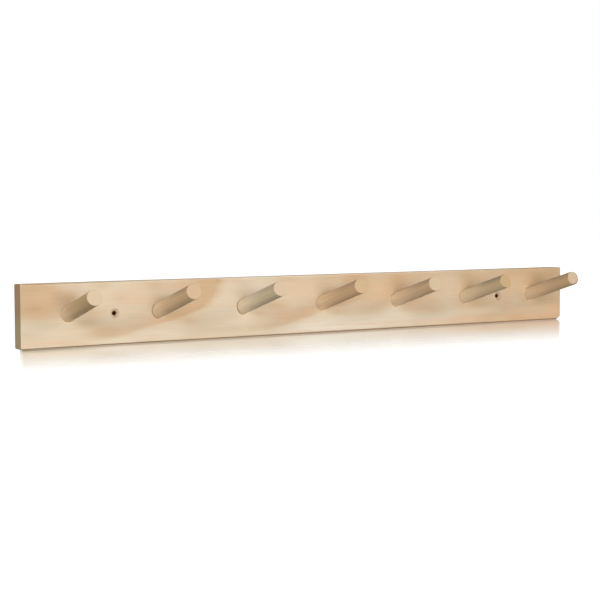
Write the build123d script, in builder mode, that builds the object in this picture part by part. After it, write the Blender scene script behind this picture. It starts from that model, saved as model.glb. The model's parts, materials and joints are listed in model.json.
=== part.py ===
from build123d import *
import math
import os

# A peg rail for a wall: one board with a row of straight dowel pegs, glued into tilted blind sockets,
# and a countersunk screw hole near each end.
# X runs along the board, +Y points into the wall and +Z is up. All sizes are in millimetres.
# The origin is the middle of the board's back face, where it lies on the wall.

# board
board_length = 700
board_height = 65
board_thickness = 18
arris_radius = 1.5  # along the board
end_arris_radius = 0.5  # round both ends
nick_length = 6  # the lower right corner is knocked off, this far along the board
nick_height = 4  # and this far up its end

# pegs
peg_diameter = 16
peg_reaches = (73, 85, 83, 81, 78, 79, 81)  # out of the board along each peg's axis, from the left
peg_tilt = 16  # degrees up from square to the board
peg_rise = 1.3  # each peg's axis leaves the front face this far above mid-height
end_margin = 50  # from the board's end to the axis of the first or last peg
tip_radius = 0.8
foot_bevel = 1

# sockets
socket_clearance = 0.05  # on the radius, for the glue
socket_backing = 2.5  # wood left between the wall and the deepest corner of a socket
mouth_bevel = 0.5

# wall screws
screw_hole_diameter = 4.2
countersink_diameter = 9.4
countersink_angle = 90

tilt = math.radians(peg_tilt)
socket_radius = peg_diameter / 2 + socket_clearance
socket_depth = (board_thickness - socket_backing - socket_radius * math.sin(tilt)) / math.cos(tilt)
# The front face cuts a socket at a slant, so its drill starts this far out to clear the whole mouth.
socket_lead = 2 * socket_radius * math.tan(tilt)

peg_pitch = (board_length - 2 * end_margin) / (len(peg_reaches) - 1)
peg_places = [end_margin - board_length / 2 + peg_pitch * place for place in range(len(peg_reaches))]
# Each screw sits halfway between the two pegs nearest its end.
screw_spacing = board_length - 2 * end_margin - peg_pitch

front_face = Plane.XZ.offset(board_thickness)
# One plane for each peg, centred where its axis leaves the front face and square to that axis.
peg_planes = [
    Plane(
        origin=(place, -board_thickness, peg_rise),
        x_dir=(1, 0, 0),
        z_dir=(0, -math.cos(tilt), math.sin(tilt)),
    )
    for place in peg_places
]

os.makedirs("parts", exist_ok=True)

with BuildPart() as back_board:
    with BuildSketch(Plane.XZ):
        Rectangle(board_length, board_height)
        with Locations((board_length / 2, -board_height / 2)):
            Polygon((0, 0), (0, nick_height), (-nick_length, 0), mode=Mode.SUBTRACT)
    extrude(amount=board_thickness)
    fillet(back_board.edges().filter_by(Axis.X), radius=arris_radius)
    fillet(back_board.edges().filter_by(Axis.X, reverse=True), radius=end_arris_radius)
    with Locations(front_face):
        with GridLocations(screw_spacing, 0, 2, 1):
            CounterSinkHole(
                radius=screw_hole_diameter / 2,
                counter_sink_radius=countersink_diameter / 2,
                depth=board_thickness,
                counter_sink_angle=countersink_angle,
            )
    with Locations(*[plane.offset(socket_lead) for plane in peg_planes]):
        Hole(radius=socket_radius, depth=socket_depth + socket_lead)
    chamfer(back_board.edges().filter_by(GeomType.ELLIPSE), length=mouth_bevel)

back_board.part.label = "back_board"
export_step(back_board.part, "parts/back_board.step")

for number, (plane, reach) in enumerate(zip(peg_planes, peg_reaches), start=1):
    with BuildPart() as peg:
        with BuildSketch(plane.offset(-socket_depth)):
            Circle(peg_diameter / 2)
        extrude(amount=socket_depth + reach)
        tip, foot = peg.faces().filter_by(GeomType.PLANE).sort_by(Axis.Y)
        fillet(tip.edges(), radius=tip_radius)
        chamfer(foot.edges(), length=foot_bevel)
    peg.part.label = f"peg_{number}"
    export_step(peg.part, f"parts/peg_{number}.step")
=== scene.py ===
import bpy
import bmesh
import json
import math
from mathutils import Matrix, Vector


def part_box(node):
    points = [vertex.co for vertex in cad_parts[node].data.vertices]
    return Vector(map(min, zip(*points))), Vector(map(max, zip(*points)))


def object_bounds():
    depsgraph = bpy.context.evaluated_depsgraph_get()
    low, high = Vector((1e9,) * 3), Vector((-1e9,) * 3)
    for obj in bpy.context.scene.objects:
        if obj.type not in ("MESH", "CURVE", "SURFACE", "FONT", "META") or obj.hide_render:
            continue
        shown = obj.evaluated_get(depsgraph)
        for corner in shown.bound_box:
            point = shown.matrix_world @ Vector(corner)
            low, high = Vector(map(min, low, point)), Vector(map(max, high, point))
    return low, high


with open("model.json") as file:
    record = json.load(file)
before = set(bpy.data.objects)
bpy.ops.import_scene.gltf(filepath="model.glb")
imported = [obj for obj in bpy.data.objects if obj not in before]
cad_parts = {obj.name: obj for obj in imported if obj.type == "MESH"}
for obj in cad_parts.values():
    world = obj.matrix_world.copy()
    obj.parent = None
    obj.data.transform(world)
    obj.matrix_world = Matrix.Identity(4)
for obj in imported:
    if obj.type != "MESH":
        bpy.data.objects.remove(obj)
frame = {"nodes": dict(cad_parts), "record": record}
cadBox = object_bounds()
mm = 0.001
white = (1, 1, 1, 1)
nodes = frame["nodes"]
mounts = {mount["name"]: mount for mount in frame["record"]["mounts"]}
screws = mounts["wall_screws"]["dims"]

# the board's corners, in millimetres from the middle of its back
boardLow, boardHigh = (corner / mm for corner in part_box("back_board"))
boardLength = boardHigh.x - boardLow.x

# where each peg's axis leaves the board's front, and what all the pegs share
pegNames = sorted(name for name in nodes if name.startswith("peg_"))
pegRoots = []
for name in pegNames:
    hook = mounts[name + "_hook"]
    pegAxis = Vector(hook["axis"])
    pegRoots.append(Vector(hook["pos_m"]) / mm - pegAxis * hook["dims"]["length_mm"])
pegRadius = hook["dims"]["r_mm"]
pegPitch = pegRoots[1].x - pegRoots[0].x
pegTilt = math.atan2(-pegAxis.y, pegAxis.z)  # turns +Z to the pegs' axis
print("frame loaded, with", len(nodes), "wooden pieces")


# A node's output. Plain signs between outputs and numbers add the Math nodes.
class Signal:
    def __init__(self, finish, socket):
        self.finish = finish
        self.socket = socket

    def __add__(self, other):
        return self.finish.math("ADD", self, other)

    def __radd__(self, other):
        return self.finish.math("ADD", other, self)

    def __sub__(self, other):
        return self.finish.math("SUBTRACT", self, other)

    def __rsub__(self, other):
        return self.finish.math("SUBTRACT", other, self)

    def __mul__(self, other):
        return self.finish.math("MULTIPLY", self, other)

    def __rmul__(self, other):
        return self.finish.math("MULTIPLY", other, self)

    def __truediv__(self, other):
        return self.finish.math("DIVIDE", self, other)

    def __pow__(self, other):
        return self.finish.math("POWER", self, other)

    def __neg__(self):
        return self.finish.math("MULTIPLY", self, -1)

    def __abs__(self):
        return self.finish.math("ABSOLUTE", self)


# A material or the world, with its node tree. Lengths in it are millimetres and colours are linear.
class Finish:
    def __init__(self, owner):
        self.owner = owner
        owner.use_nodes = True
        self.tree = owner.node_tree
        self.tree.nodes.clear()

    # The one way to add a node: its type, its settings and what its sockets hold or are linked to
    def add(self, kind, settings, sockets, output=0):
        node = self.tree.nodes.new(kind)
        for name, value in settings.items():
            if name == "stops":
                self.setStops(node.color_ramp.elements, value)
            else:
                setattr(node, name, value)
        for key, value in sockets.items():
            if isinstance(value, Signal):
                self.tree.links.new(value.socket, node.inputs[key])
            else:
                node.inputs[key].default_value = value
        return Signal(self, node.outputs[output]) if node.outputs else None

    def setStops(self, elements, stops):
        while len(elements) < len(stops):
            elements.new(1)
        for element, (position, level) in zip(elements, stops):
            element.position = position
            element.color = (level, level, level, 1)

    def math(self, operation, *values):
        return self.add("ShaderNodeMath", {"operation": operation}, dict(enumerate(values)))

    def vector(self, operation, *values, output="Vector"):
        return self.add("ShaderNodeVectorMath", {"operation": operation}, dict(enumerate(values)), output)

    def dot(self, first, second):
        return self.vector("DOT_PRODUCT", first, second, output="Value")

    # How far off something is that lies this far away in each of two directions
    def distance(self, first, second):
        return (first * first + second * second) ** 0.5

    # Where the shaded point lies, from an origin and in a frame turned by the angles
    def place(self, origin=(0, 0, 0), turn=(0, 0, 0)):
        spot = self.add("ShaderNodeTexCoord", {}, {}, "Object")
        sockets = {"Vector": spot, "Location": Vector(origin) * mm, "Rotation": turn, "Scale": (mm, mm, mm)}
        return self.add("ShaderNodeMapping", {"vector_type": "TEXTURE"}, sockets)

    # 1 where the surface looks along the axis, 0 where it is square to it
    def facing(self, axis):
        return self.dot(self.add("ShaderNodeTexCoord", {}, {}, "Normal"), axis)

    def split(self, spot):
        node = self.add("ShaderNodeSeparateXYZ", {}, {"Vector": spot}).socket.node
        return [Signal(self, socket) for socket in node.outputs]

    # 0 below low, 1 above high, with a soft way between them
    def ease(self, value, low, high):
        sockets = {"Value": value, "From Min": low, "From Max": high}
        return self.add("ShaderNodeMapRange", {"interpolation_type": "SMOOTHSTEP"}, sockets)

    def clamp(self, value):
        return self.add("ShaderNodeClamp", {}, {"Value": value})

    def ramp(self, value, stops):
        return self.add("ShaderNodeValToRGB", {"stops": stops}, {"Fac": value})

    # Noise from 0 to 1, whose lumps are about this long each way
    def noise(self, spot, lump, detail, shift=0):
        stretched = self.vector("DIVIDE", spot, lump)
        moved = self.vector("ADD", stretched, (shift, -shift, shift / 2))
        return self.add("ShaderNodeTexNoise", {}, {"Vector": moved, "Scale": 1, "Detail": detail})

    # The same, from -0.5 to 0.5
    def ripple(self, spot, lump, detail, shift=0):
        return self.noise(spot, lump, detail, shift) - 0.5

    # 1 at the centre, fading to nothing at about twice the reach
    def around(self, spot, centre, reach):
        away = self.vector("DIVIDE", self.vector("SUBTRACT", spot, centre), reach)
        return self.math("EXPONENT", -self.dot(away, away))

    def mix(self, share, first, second):
        settings = {"data_type": "RGBA"}
        return self.add("ShaderNodeMix", settings, {0: share, 6: first, 7: second}, 2)

    def shade(self, colour, level):
        return self.add("ShaderNodeVectorMath", {"operation": "SCALE"}, {0: colour, "Scale": level})

    def blend(self, share, first, second):
        return self.add("ShaderNodeMixShader", {}, {0: share, 1: first, 2: second})

    def matt(self, colour):
        return self.add("ShaderNodeBsdfDiffuse", {}, {"Color": paint(*colour)})

    # 1 for the camera and in mirrors and glass, 0 for the light that falls on things
    def seen(self):
        rays = self.add("ShaderNodeLightPath", {}, {}).socket.node.outputs
        camera, glossy, glass, bounces = (
            Signal(self, rays[name])
            for name in ("Is Camera Ray", "Is Glossy Ray", "Is Transmission Ray", "Diffuse Depth")
        )
        return self.clamp(camera + glossy + glass) * (1 - self.clamp(bounces))

    def finishWith(self, surface, output="ShaderNodeOutputMaterial"):
        self.add(output, {}, {"Surface": surface})
        return self.owner


# A colour from 0 to 255 as the eye sees it, given as the shader's linear values
def paint(red, green, blue):
    return tuple(((level / 255 + 0.055) / 1.055) ** 2.4 for level in (red, green, blue)) + (1.0,)


# What the board and the pegs have in common as bare, sanded pine
woodLook = {
    "canalEdge": (0.7, 0.8),  # how strong their noise is at the edge of a resin canal's dark dash
    "specular": 0.15,
    "fibreRoughness": 0.2,
    "fibreRelief": 0.6,
    "streakRelief": 0.3,
    "ringRelief": 0.3,
    "reliefHeight": 0.1,
    "reliefStrength": 0.3,
}


# Fibres, the wider streaks between them and resin canals
def woodGrain(finish, spot, look):
    canals = finish.ease(finish.noise(spot, *look["canals"]), *woodLook["canalEdge"])
    return finish.ripple(spot, *look["fibre"]), finish.ripple(spot, *look["streak"]), canals


def woodSurface(finish, colour, look, ring, fibre, streak, canals):
    relief = fibre * woodLook["fibreRelief"] + streak * woodLook["streakRelief"]
    relief = relief + ring * woodLook["ringRelief"] - canals * look["canalRelief"]
    height = woodLook["reliefHeight"] * mm
    bump = {"Height": relief, "Distance": height, "Strength": woodLook["reliefStrength"]}
    roughness = look["roughness"] + fibre * woodLook["fibreRoughness"] - ring * look["ringGloss"]
    sockets = {
        "Base Color": colour,
        "Roughness": roughness,
        "Specular IOR Level": woodLook["specular"],
        "Normal": finish.add("ShaderNodeBump", {}, bump),
    }
    return finish.add("ShaderNodeBsdfPrincipled", {}, sockets)


# Places on the board are along it from its left end and up from mid-height. A pair of numbers is where
# something begins and where it is complete, or where it begins to fade and is gone.
boardLook = {
    # the front's colours: the palest, and the tones between which each browner one comes in
    "palest": (244, 233, 214),
    "tones": (
        (-1.0, -0.2, (232, 215, 191)),
        (-0.25, 0.3, (224, 203, 173)),
        (0.1, 0.95, (211, 178, 140)),
        (0.9, 1.6, (190, 156, 116)),
    ),
    "pink": (230, 187, 148),
    "shadowGrey": (0.85, 0.92, 0.93, 1),  # how much of red, green and blue a painted shadow patch keeps
    # marks in the wood: how long their lumps are each way, their detail and a shift that keeps them apart
    "wander": ((60, 9, 9), 3),
    "fibre": ((26, 0.6, 0.6), 3),
    "streak": ((90, 2.2, 2.2), 3, 7),
    "cloud": ((45, 10, 10), 2, 11),
    "canals": ((6, 0.3, 0.3), 1, 3),
    "pores": ((2, 0.5, 0.5), 2, 5),
    "streakTone": 0.35,  # how much browner
    "cloudTone": 0.3,
    "cloudPink": 0.4,
    "streakShade": 0.2,  # how much lighter or darker, with the fibres
    "canal": (176, 136, 94),
    "canalShare": 0.3,
    "canalRelief": 0.6,
    "roughness": 0.6,
    "ringGloss": 0.05,
    # growth rings
    "firstRing": 45,  # where the front cuts the first one at mid-height
    "ringRun": 151,  # how far along the next one comes
    "runGrowth": 0.066,  # and how much that grows along the board
    "knee": 2,  # above this height a ring's line climbs steeply, below it flat
    "kneeRound": 3,
    "steepRun": 0.6,  # how far along for one up
    "flatRun": 3.7,
    "ringDepth": 5.5,  # from one ring to the next, going into the board
    "waver": 0.1,
    # how brown the wood is on the way from one ring to the next
    "lateWood": (
        (0, 0.4),
        (0.035, 0.1),
        (0.25, 0.06),
        (0.55, 0.22),
        (0.75, 0.5),
        (0.9, 0.9),
        (0.965, 0.85),
        (1, 0.4),
    ),
    "ringsAlong": (50, 85),  # where the front begins to show rings
    "ringsUp": (-29, -20),
    "lowRings": 0.6,  # how strongly they show well below the knee
    "highRings": (-12, 2),  # up from the knee, to where they show fully
    "plainAlong": (330, 440),  # where they fade into an even tone
    "plainTone": 0.55,
    "restTone": 0.1,  # where there are neither
    # ends
    "endTurn": (0.6, 0.95),  # how far a face has to be turned to show end grain
    "endGrain": (164, 127, 82),
    "endLine": (134, 99, 62),
    "endPores": 0.25,
    "endPale": (166, 149, 110),  # towards the foot
    "endPaleDown": (-8, 14),  # below mid-height
    "endPaleShare": 0.8,
    "endDark": (4, 0.5),  # from the wall
    "endDarkShade": 0.4,
    # painted shade on the arrises: a dark band along the foot and towards both ends of the top, and painted
    # light in the middle of the top
    "arrisLeft": (140, 110, 66),
    "arrisRight": (150, 104, 62),
    "footShade": 0.8,
    "footHeight": 2.15,  # how far up the front the dark band along the foot goes
    "footSoft": 0.9,
    "footUnder": (1.9, 2.2),  # this far down from there it gets weaker again
    "footUnderFade": 0.6,
    "footDrop": 0.6,  # how much lower the band is at the left end
    "footDropReach": 150,
    "topTurn": (0.2, 0.7),
    "topShade": 0.35,  # towards the ends
    "topEnds": (120, 330),  # from the middle of the board
    "topLight": 0.4,  # in the middle
    # pegs' feet
    "frontSkin": (2, 3),  # what is deeper in than this isn't the front
    "mouth": (244, 228, 204),  # painted light round each socket's bevelled mouth, lifting the shade there
    "mouthShare": 0.7,
    "mouthOut": 0.2,  # from the peg's wall
    "mouthEdge": (0.3, 0.9),
    "footLine": (104, 76, 50),  # a fine painted shadow at a foot's lower left, as where the socket stands a little open
    "footLineOut": (0.4, 1.3),  # from the peg's wall
    "footLineSide": (-0.9, -0.45),  # towards the lower left
    "footLineTurn": (0.1, 0.9),
    "footLines": (0, 0.7, 0.8, 0.35, 0, 0.25, 0),  # how strong it is at each peg
    # screw holes
    "holeShade": (112, 66, 34),  # painted shade filling the deep hole, dark brown
    "holeShadeEdge": 0.5,
    "countersink": 4.7,  # its radius, with painted shade at its rim
    "rimEdge": (0.1, 0.9),
    "rimShade": 0.15,
    # patches on the front: along, up, half as long, half as high, and how much browner (above 0) or paler.
    # Most are the wood's figure; those at about 70, 170, 268, 368, 464, 564 and 668 along, just below the
    # pegs, and at 452, 554 and 660 along, above the right-hand pegs, are painted peg shadows
    "figureDepth": 14,  # how deep they go in
    "figure": (
        (4, 26, 30, 12, 0.75),
        (14, 7, 26, 9, 1.05),
        (25, 29, 16, 4, 0.3),
        (40, 20, 12, 8, 0.4),
        (53, 17, 8, 5, 0.5),
        (70, -8, 15, 6, 0.55),
        (80, 2, 14, 5, 0.35),
        (86, 29, 10, 4, 0.3),
        (90, -17, 20, 7, 0.3),
        (105, -20, 14, 4, -0.2),
        (106, 16, 12, 7, 0.25),
        (122, -28, 40, 3, -0.4),
        (145, 28, 10, 4, 0.3),
        (150, -24, 22, 4, -0.3),
        (165, 22, 12, 5, -0.25),
        (170, -7, 22, 5, 0.4),
        (186, -13, 12, 5, 0.3),
        (198, 30, 8, 3, 0.15),
        (218, 30, 3, 2, 0.4),
        (250, -14, 22, 7, -0.3),
        (266, 22, 12, 5, -0.25),
        (268, -7, 10, 4, 0.35),
        (289, 1, 17, 5, 0.5),
        (295, -9, 14, 4, 0.25),
        (302, 29, 18, 4, 0.35),
        (325, -23, 26, 5, -0.4),
        (345, -9, 10, 4, -0.3),
        (368, -9, 13, 5, 0.35),
        (368, 23, 10, 6, -0.25),
        (395, 18, 14, 14, 0.35),
        (400, -28, 90, 3, -0.6),
        (400, -22, 64, 8, -0.9),
        (443, -9, 15, 6, -0.4),
        (452, -15, 28, 6, -0.3),
        (452, 20, 13, 14, 0.35),
        (462, -27, 28, 4, -0.3),
        (464, -9, 22, 5, 0.15),
        (500, -24, 50, 8, -0.5),
        (526, 0, 16, 22, -0.3),
        (554, 20, 12, 13, 0.25),
        (556, -27, 16, 4, -0.3),
        (564, -8, 20, 5, 0.15),
        (568, -17, 34, 5, -0.4),
        (627, -27, 14, 4, 0.35),
        (627, -5, 12, 6, -0.35),
        (630, 28, 40, 5, 0.25),
        (660, 20, 18, 12, 0.6),
        (665, -28, 28, 3, 0.35),
        (668, -7, 22, 6, 0.5),
        (690, 24, 18, 10, 0.45),
    ),
    # and the same for pinker ones, and for greyer ones, which are painted shadows, mostly just below and
    # beside the pegs
    "tintDepth": 12,
    "pinkPatches": (
        (28, -27, 34, 2, 0.35),
        (118, 14, 24, 6, 0.25),
        (140, -26, 18, 4, 0.2),
        (170, 26, 28, 5, 0.35),
        (305, -13, 22, 6, 0.4),
        (318, 20, 26, 10, 0.25),
        (332, -8, 12, 3, 0.4),
        (366, 28, 12, 4, 0.35),
        (420, -26, 40, 2, 0.3),
        (420, 16, 22, 12, 0.35),
        (570, -26, 90, 4, 0.5),
        (600, -8, 36, 8, 0.1),
        (628, 12, 18, 18, 0.25),
        (675, -28, 24, 3, 0.4),
        (690, -18, 16, 12, 0.6),
    ),
    "shadowPatches": (
        (28, -9, 18, 5, 0.4),
        (66, -8, 13, 5, 0.9),
        (87, -8, 12, 5, 0.6),
        (546, 27, 10, 6, 0.45),
        (571, -8, 12, 5, 0.65),
        (643, -13, 12, 5, 0.3),
        (665, -8, 14, 5, 0.9),
        (688, -8, 12, 6, 0.7),
    ),
}


def patches(finish, spot, marks, halfDepth):
    total = 0
    for left, up, halfLength, halfHeight, strength in marks:
        total = total + strength * finish.around(spot, (left, 0, up), (halfLength, halfDepth, halfHeight))
    return total


# Growth rings that the front cuts at a shallow angle, so that each one's tan late wood ends in a long edge.
# Gives the rings' late wood and how brown the front is from it.
def boardRings(finish, spot):
    look = boardLook
    along, depth, height = finish.split(spot)
    aboveKnee = height - look["knee"]
    bend = aboveKnee * ((look["steepRun"] + look["flatRun"]) / 2)
    bend = bend + finish.distance(aboveKnee, look["kneeRound"]) * ((look["steepRun"] - look["flatRun"]) / 2)
    rings = (along - look["firstRing"] - bend) / (along * look["runGrowth"] + look["ringRun"])
    rings = rings + depth / look["ringDepth"] + finish.ripple(spot, *look["wander"]) * look["waver"]
    ring = finish.ramp(finish.math("FRACT", rings), look["lateWood"])

    plain = finish.ease(along, *look["plainAlong"])
    shown = (1 - plain) * finish.ease(height, *look["ringsUp"]) * finish.ease(along, *look["ringsAlong"])
    high = finish.ease(aboveKnee, *look["highRings"])
    shown = shown * (look["lowRings"] + high * (1 - look["lowRings"]))
    return ring, ring * shown + plain * look["plainTone"] + (1 - shown) * (1 - plain) * look["restTone"]


# The colour of a tone from about -1 to 2, with the figure, the painted peg shadows and the tinted patches
def boardColour(finish, spot, tone):
    look = boardLook
    cloud = finish.ripple(spot, *look["cloud"])
    tone = tone + patches(finish, spot, look["figure"], look["figureDepth"]) + cloud * look["cloudTone"]
    colour = paint(*look["palest"])
    for low, high, browner in look["tones"]:
        colour = finish.mix(finish.ease(tone, low, high), colour, paint(*browner))
    pinker = patches(finish, spot, look["pinkPatches"], look["tintDepth"]) + cloud * look["cloudPink"]
    colour = finish.mix(finish.clamp(pinker), colour, paint(*look["pink"]))
    # painted shadows, greyer, mostly below the pegs
    paintedShadow = finish.clamp(patches(finish, spot, look["shadowPatches"], look["tintDepth"]))
    return finish.vector("MULTIPLY", colour, finish.mix(paintedShadow, white, look["shadowGrey"]))


def boardEnd(finish, spot, ring):
    look = boardLook
    depth, height = finish.split(spot)[1:]
    wallBegin, wallComplete = (boardHigh.y - boardLow.y - fromWall for fromWall in look["endDark"])
    pores = finish.ripple(spot, *look["pores"])
    colour = finish.mix(ring, paint(*look["endGrain"]), paint(*look["endLine"]))
    paler = finish.ease(-height, *look["endPaleDown"]) * look["endPaleShare"]
    colour = finish.mix(paler, colour, paint(*look["endPale"]))
    darker = finish.ease(depth, wallBegin, wallComplete) * look["endDarkShade"]
    return finish.shade(colour, 1 + pores * look["endPores"] - darker)


# Painted shade along the foot and towards the ends of the top, painted light in the middle of the top
def boardArrises(finish, spot, colour, endness):
    look = boardLook
    along, _, height = finish.split(spot)
    drop = (1 - finish.ease(along, 0, look["footDropReach"])) * look["footDrop"]
    down = look["footHeight"] + boardLow.z - height - drop
    foot = 1 - finish.ease(down, *look["footUnder"]) * look["footUnderFade"]
    foot = foot * finish.ease(down, 0, look["footSoft"])
    top = finish.ease(finish.facing((0, 0, 1)), *look["topTurn"])
    ends = finish.ease(abs(along - boardLength / 2), *look["topEnds"])
    worn = finish.clamp(foot * look["footShade"] + top * ends * look["topShade"])
    rightward = finish.ease(along, 0, boardLength)
    arris = finish.mix(rightward, paint(*look["arrisLeft"]), paint(*look["arrisRight"]))
    colour = finish.mix(worn * (1 - endness), colour, arris)
    return finish.mix(top * (1 - ends) * look["topLight"], colour, paint(*look["palest"]))


def boardMouths(finish, spot, colour, atFront):
    look = boardLook
    along, _, height = finish.split(spot)
    fromLeftPeg = along - (pegRoots[0].x - boardLow.x - pegPitch / 2)
    footAlong = finish.math("WRAP", fromLeftPeg, pegPitch, 0) - pegPitch / 2
    footUp = (height - pegRoots[0].z) * -pegAxis.y  # a tilted peg leaves the front as an ellipse
    fromFoot = finish.distance(footAlong, footUp)
    towardsAlong, towardsUp = look["footLineSide"]
    side = finish.ease((footAlong * towardsAlong + footUp * towardsUp) / fromFoot, *look["footLineTurn"])
    pegShares = [(root.x - boardLow.x) / boardLength for root in pegRoots]
    strength = finish.ramp(along / boardLength, tuple(zip(pegShares, look["footLines"])))
    # a painted shadow at the lower left of some feet
    line = (1 - finish.ease(fromFoot - pegRadius, *look["footLineOut"])) * side * strength * atFront
    # painted light in the bevelled socket mouths
    mouth = (1 - finish.ease(abs(fromFoot - pegRadius - look["mouthOut"]), *look["mouthEdge"])) * atFront
    colour = finish.mix(mouth * (1 - line) * look["mouthShare"], colour, paint(*look["mouth"]))
    return finish.mix(line, colour, paint(*look["footLine"]))


def boardPine():
    look = boardLook
    finish = Finish(bpy.data.materials.new("boardPine"))
    # from the left end, into the board and above mid-height
    spot = finish.place(origin=(boardLow.x, boardLow.y, 0))
    along, depth, height = finish.split(spot)
    atFront = 1 - finish.ease(depth, *look["frontSkin"])
    fibre, streak, canals = woodGrain(finish, spot, look)
    ring, tone = boardRings(finish, spot)

    colour = boardColour(finish, spot, tone + streak * look["streakTone"])
    colour = finish.mix(canals * look["canalShare"], colour, paint(*look["canal"]))
    colour = finish.shade(colour, 1 + (fibre + streak) * look["streakShade"])
    endness = finish.ease(abs(finish.facing((1, 0, 0))), *look["endTurn"])
    colour = finish.mix(endness, colour, boardEnd(finish, spot, ring))
    colour = boardArrises(finish, spot, colour, endness)
    colour = boardMouths(finish, spot, colour, atFront)

    # the two drilled holes, deep below their countersinks, filled with painted shade
    fromHole = finish.distance(abs(along - boardLength / 2) - screws["spacing_x_mm"] / 2, height)
    holeShade = 1 - finish.ease(fromHole - screws["hole_r_mm"], 0, look["holeShadeEdge"])
    # painted shade round the edge of each countersink
    rimmed = 1 - finish.ease(abs(fromHole - look["countersink"]), *look["rimEdge"])
    colour = finish.mix(rimmed * look["rimShade"] * atFront, colour, paint(*look["footLine"]))

    surface = woodSurface(finish, colour, look, ring, fibre, streak, canals)
    return finish.finishWith(finish.blend(holeShade, surface, finish.matt(look["holeShade"])))


nodes["back_board"].material_slots[0].material = boardPine()
print("board finished")

# Places on a peg are to the right of its axis, above it, and out along it from the board.
pegLook = {
    # painted light near the board: the foot's paler tone stands for the light the board throws on it
    "foot": (228, 208, 178),
    "footShare": 0.5,
    "footReach": 30,  # how far out of the board the painted light at the foot goes
    "footLight": 0.3,  # painted light: how much paler still the lower side is there
    "footLightDown": (1, 7),
    "tipTint": (0.78, 0.74, 0.66, 1),  # painted shade towards the tip: how much of red, green and blue the wood there keeps
    "upward": (-0.42, 0.9, 0),  # towards the upper side, which has painted shade towards the tip
    "wornUp": (2.5, 7.5),
    "wornAlong": (0.35, 0.8),  # of the peg's length
    # marks in the wood, as for the board
    "wander": ((30, 30, 160), 2),
    "fibre": ((0.6, 0.6, 22), 3),
    "streak": ((3, 3, 70), 2, 5),
    "canals": ((0.3, 0.3, 6), 1, 3),
    "pores": ((0.35, 0.35, 3), 2, 1),
    "apart": 137,  # how far along the dowel the next peg's grain is
    "fibreShade": 0.1,
    "streakShade": 0.16,
    "canal": (170, 130, 90),
    "canalShare": 0.3,
    "canalRelief": 0.5,
    "roughness": 0.58,
    "ringGloss": 0,
    # growth rings
    "ringWidth": 3.4,
    "ringTaper": 0.02,
    "ringWaver": 3,
    "ringShade": 0.05,
    "lateWood": ((0, 0), (0.4, 0.1), (0.75, 0.5), (0.92, 1), (1, 0)),
    # the end grain of the tip
    "tipTurn": (0.55, 0.9),
    "tipLevel": 1.03,
    "tipRings": 0.04,
    "tipPores": 0.1,
    # a grey rim round the tip's lower right, which only one peg has
    "rim": 0,
    "rimTone": (116, 102, 92),
    "rimBand": (2, 0.8),  # from the peg's wall
    "rimSide": (0.9, -0.4, 0),
    "rimSideReach": (-3, 5),
    "rimTurn": (0, 0.3),
    # one stick of dowel for each peg: its colours, how far off the tree's heart was and which way in degrees,
    # and how much painted shade (above 0) or painted light its upper side has towards the tip
    "sticks": {
        "peg_1": {"side": (208, 180, 142), "tip": (218, 194, 163), "heart": 40, "turn": 200, "worn": -0.12},
        "peg_2": {"side": (228, 198, 161), "tip": (213, 181, 147), "heart": 26, "turn": 80, "worn": 0.22},
        "peg_3": {"side": (234, 217, 189), "tip": (217, 191, 161), "heart": 60, "turn": 320, "worn": 0.05},
        "peg_4": {"side": (232, 198, 160), "tip": (210, 179, 140), "heart": 34, "turn": 150, "worn": 0.1},
        "peg_5": {"side": (232, 204, 169), "tip": (213, 190, 155), "heart": 22, "turn": 30, "worn": 0.14},
        "peg_6": {"side": (229, 206, 171), "tip": (200, 168, 126), "heart": 48, "turn": 260, "worn": 0.28},
        "peg_7": {
            "side": (228, 197, 161),
            "foot": (216, 196, 168),
            "tip": (212, 184, 152),
            "heart": 30,
            "turn": 110,
            "worn": 0.05,
            "rim": 0.9,
        },
    },
}


def dowelRings(finish, spot, grain, look):
    heartAngle = math.radians(look["turn"])
    heart = (look["heart"] * math.cos(heartAngle), look["heart"] * math.sin(heartAngle), 0)
    across = finish.vector("MULTIPLY", finish.vector("SUBTRACT", spot, heart), (1, 1, look["ringTaper"]))
    waver = finish.ripple(grain, *look["wander"]) * look["ringWaver"]
    rings = (finish.vector("LENGTH", across, output="Value") + waver) / look["ringWidth"]
    return finish.ramp(finish.math("FRACT", rings), look["lateWood"])


# Painted light near the board, and painted shade towards the tip and along the upper side there
def dowelSide(finish, spot, level, length, look):
    along = finish.split(spot)[2]
    nearFoot = 1 - finish.ease(along, 0, look["footReach"])
    upward = finish.dot(spot, look["upward"])
    worn = finish.ease(upward, *look["wornUp"]) * finish.ease(along / length, *look["wornAlong"])
    level = level - worn * look["worn"]
    level = level + finish.ease(-upward, *look["footLightDown"]) * nearFoot * look["footLight"]
    colour = finish.mix(nearFoot * look["footShare"], paint(*look["side"]), paint(*look["foot"]))
    tipShaded = finish.mix(finish.ease(along, 0, length), white, look["tipTint"])
    return finish.vector("MULTIPLY", finish.shade(colour, level), tipShaded)


def dowelRim(finish, spot, colour, tipward, look):
    right, up = finish.split(spot)[:2]
    rimBegin, rimComplete = (pegRadius - fromWall for fromWall in look["rimBand"])
    outer = finish.ease(finish.distance(right, up), rimBegin, rimComplete)
    side = finish.ease(finish.dot(spot, look["rimSide"]), *look["rimSideReach"])
    rim = outer * side * finish.ease(tipward, *look["rimTurn"]) * look["rim"]
    return finish.mix(rim, colour, paint(*look["rimTone"]))


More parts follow.
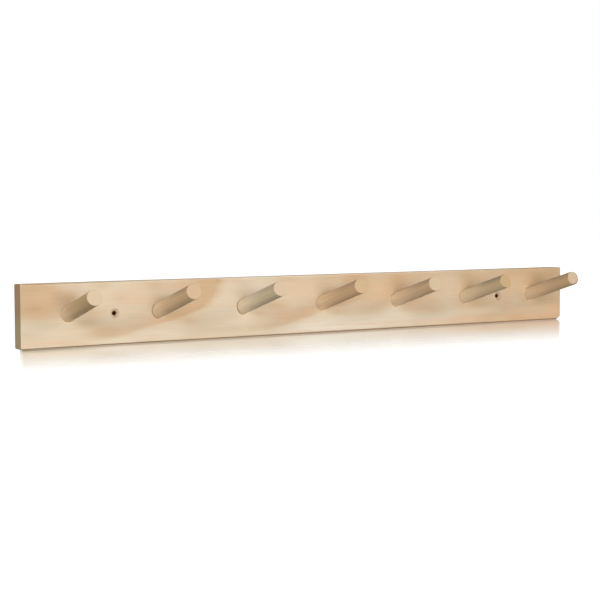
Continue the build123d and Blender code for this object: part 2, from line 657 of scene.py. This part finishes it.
def dowelPine(name):
    look = pegLook | pegLook["sticks"][name]
    number = pegNames.index(name)
    finish = Finish(bpy.data.materials.new("dowelPine" + str(number + 1)))
    spot = finish.place(origin=pegRoots[number], turn=(pegTilt, 0, 0))  # Z runs out along the peg
    grain = finish.vector("ADD", spot, (0, 0, look["apart"] * (number + 1)))
    fibre, streak, canals = woodGrain(finish, grain, look)
    ring = dowelRings(finish, spot, grain, look)

    level = 1 - ring * look["ringShade"] + streak * look["streakShade"] + fibre * look["fibreShade"]
    side = dowelSide(finish, spot, level, mounts[name + "_hook"]["dims"]["length_mm"], look)
    side = finish.mix(canals * look["canalShare"], side, paint(*look["canal"]))
    pores = finish.ripple(spot, *look["pores"])
    tipLevel = look["tipLevel"] - ring * look["tipRings"] + pores * look["tipPores"]
    tipward = finish.facing(pegAxis)
    tip = finish.shade(paint(*look["tip"])[:3], tipLevel)
    colour = finish.mix(finish.ease(tipward, *look["tipTurn"]), side, tip)
    if look["rim"]:
        colour = dowelRim(finish, spot, colour, tipward, look)
    return finish.finishWith(woodSurface(finish, colour, look, ring, fibre, streak, canals))


for name in pegNames:
    nodes[name].material_slots[0].material = dowelPine(name)
print("pegs finished:", len(pegNames))

floorLook = {
    "size": 12.0,  # metres
    "dull": (162, 161, 159),  # what it throws back as light
    # a polished patch in front of the board, which mirrors it
    "roughness": 0.1,
    "reflection": 1.2,
    "grazing": 3,  # how much more it mirrors at a low angle
    "polish": (0.96, 0.99, 1, 1),  # how much of red, green and blue it mirrors
    "leftReach": 222,  # the mirror image is gone this far in front of the board's left end
    "rightReach": 262,
    "fading": 0.8,
    "edge": 3,  # how soft the patch is at both sides
    "leftSlant": 0.338,  # how much wider it gets at its left side, going away from the board
    "rightSlant": 0.895,  # and how much narrower at its right side
    # close to the board it mirrors less and has painted warm light
    "contact": 0.4,
    "contactReach": 22,
    "contactFrom": 90,  # from the board's left end to where that comes in fully
    "bounce": (226, 202, 172),  # painted warm light near the board, for what the wood throws on the floor
    # a painted soft shadow at the foot of the left end
    "underShade": 0.62,
    "underTone": (173, 157, 126),
    "underReach": 42,
    "underRun": 110,  # how far along the board it goes
    # white that only the camera and mirrors see
    "glowNear": 0.88,
    "glowFar": 1.0,
    "glowReach": 500,
}


def floorFinish():
    look = floorLook
    finish = Finish(bpy.data.materials.new("studioFloor"))
    right, depth = finish.split(finish.place())[:2]
    along = right - boardLow.x  # from the board's left end
    away = boardLow.y - depth  # in front of the board
    leftEdge = finish.ease(along + away * look["leftSlant"], -look["edge"], look["edge"])
    pastRight = along + away * look["rightSlant"] - boardLength
    rightEdge = 1 - finish.ease(pastRight, -look["edge"], look["edge"])
    fromLeft = leftEdge * finish.ease(away, -1, 0)
    patch = fromLeft * rightEdge
    near = (1 - finish.ease(away, 0, look["contactReach"])) * patch
    near = near * finish.ease(along, 0, look["contactFrom"])

    dull = finish.matt(look["dull"])
    fromBoard = abs(depth) + finish.math("MAXIMUM", abs(right) - boardHigh.x, 0)
    glowRise = look["glowFar"] - look["glowNear"]
    level = look["glowNear"] + finish.ease(fromBoard, 0, look["glowReach"]) * glowRise
    warmth = finish.mix(near, white, paint(*look["bounce"]))
    glow = finish.add("ShaderNodeEmission", {}, {"Color": finish.shade(warmth, level)})
    lit = finish.add("ShaderNodeAddShader", {}, {0: dull, 1: glow})
    surface = finish.blend(finish.seen(), dull, lit)

    reach = along / boardLength * (look["rightReach"] - look["leftReach"]) + look["leftReach"]
    fade = (1 - finish.ease(away / reach, 0, 1)) ** look["fading"]
    grazing = finish.add("ShaderNodeLayerWeight", {}, {"Blend": 0.5}, "Facing") ** look["grazing"]
    mirrored = finish.clamp(fade * grazing * look["reflection"]) * patch * (1 - near * look["contact"])
    polish = {"Color": look["polish"], "Roughness": look["roughness"]}
    surface = finish.blend(mirrored, surface, finish.add("ShaderNodeBsdfGlossy", {}, polish))

    # painted shadow on the floor at the left end's foot
    under = (1 - finish.ease(away, 0, look["underReach"])) * (1 - finish.ease(along, 0, look["underRun"]))
    surface = finish.blend(under * fromLeft * look["underShade"], surface, finish.matt(look["underTone"]))
    return finish.finishWith(surface)


def studioFloor():
    mesh = bpy.data.meshes.new("studioFloor")
    shape = bmesh.new()
    bmesh.ops.create_grid(shape, x_segments=1, y_segments=1, size=floorLook["size"] / 2)
    bmesh.ops.translate(shape, verts=shape.verts, vec=(0, 0, cadBox[0].z))
    shape.to_mesh(mesh)
    shape.free()
    mesh.materials.append(floorFinish())
    floor = bpy.data.objects.new("studioFloor", mesh)
    bpy.context.scene.collection.objects.link(floor)


studioFloor()

lightLook = {
    # each lamp's azimuth (0 in front of the board, 90 at its right) and elevation in degrees,
    # and its distance from the middle and its size in metres
    "lamps": {
        "key": {"azimuth": -10, "elevation": 5, "away": 2.2, "size": (1.2, 0.9), "watts": 45},
        "right": {"azimuth": 80, "elevation": 20, "away": 3.2, "size": (1.3, 1.3), "watts": 62},
        "left": {"azimuth": -80, "elevation": 16, "away": 2.2, "size": (0.9, 0.9), "watts": 19},
        "rear": {"azimuth": 180, "elevation": 2, "away": 2.6, "size": (1.2, 0.2), "watts": 48},
    },
    "surround": 0.04,  # how much the white world lights things
}


def studioLamp(name, look):
    azimuth = math.radians(look["azimuth"])
    elevation = math.radians(look["elevation"])
    towards = Vector((math.sin(azimuth), -math.cos(azimuth), math.tan(elevation))).normalized()
    lamp = bpy.data.lights.new(name, "AREA")
    lamp.shape = "RECTANGLE"
    lamp.size, lamp.size_y = look["size"]
    lamp.energy = look["watts"]
    lampObject = bpy.data.objects.new(name, lamp)
    lampObject.location = towards * look["away"]
    lampObject.visible_camera = False
    lampObject.rotation_euler = towards.to_track_quat("Z", "Y").to_euler()
    bpy.context.scene.collection.objects.link(lampObject)


def studioSurround():
    finish = Finish(bpy.data.worlds.new("studioSurround"))
    strength = lightLook["surround"] + finish.seen() * (1 - lightLook["surround"])
    sky = finish.add("ShaderNodeBackground", {}, {"Color": white, "Strength": strength})
    bpy.context.scene.world = finish.finishWith(sky, "ShaderNodeOutputWorld")


for name, look in lightLook["lamps"].items():
    studioLamp(name, look)
studioSurround()
print("floor and light ready")

cameraLook = {
    "place": (-0.7754, -1.2747, 0.1023),  # metres
    "sensor": 36,
    "lens": 79.29,
    "yaw": 30.683,  # degrees to the right of straight ahead
    "pitch": 3.793,  # degrees down
    "roll": -0.209,
}


def setCamera():
    look = cameraLook
    camera = bpy.data.cameras.new("camera")
    camera.sensor_width = look["sensor"]
    camera.lens = look["lens"]
    cameraObject = bpy.data.objects.new("camera", camera)
    yaw, pitch, roll = (math.radians(look[name]) for name in ("yaw", "pitch", "roll"))
    turn = Matrix.Rotation(-yaw, 3, "Z") @ Matrix.Rotation(math.pi / 2 - pitch, 3, "X")
    turn = turn @ Matrix.Rotation(roll, 3, "Z")
    cameraObject.rotation_euler = turn.to_euler()
    cameraObject.location = look["place"]
    bpy.context.scene.collection.objects.link(cameraObject)
    bpy.context.scene.camera = cameraObject


setCamera()
bpy.context.scene.view_settings.view_transform = "Standard"
print("camera ready")
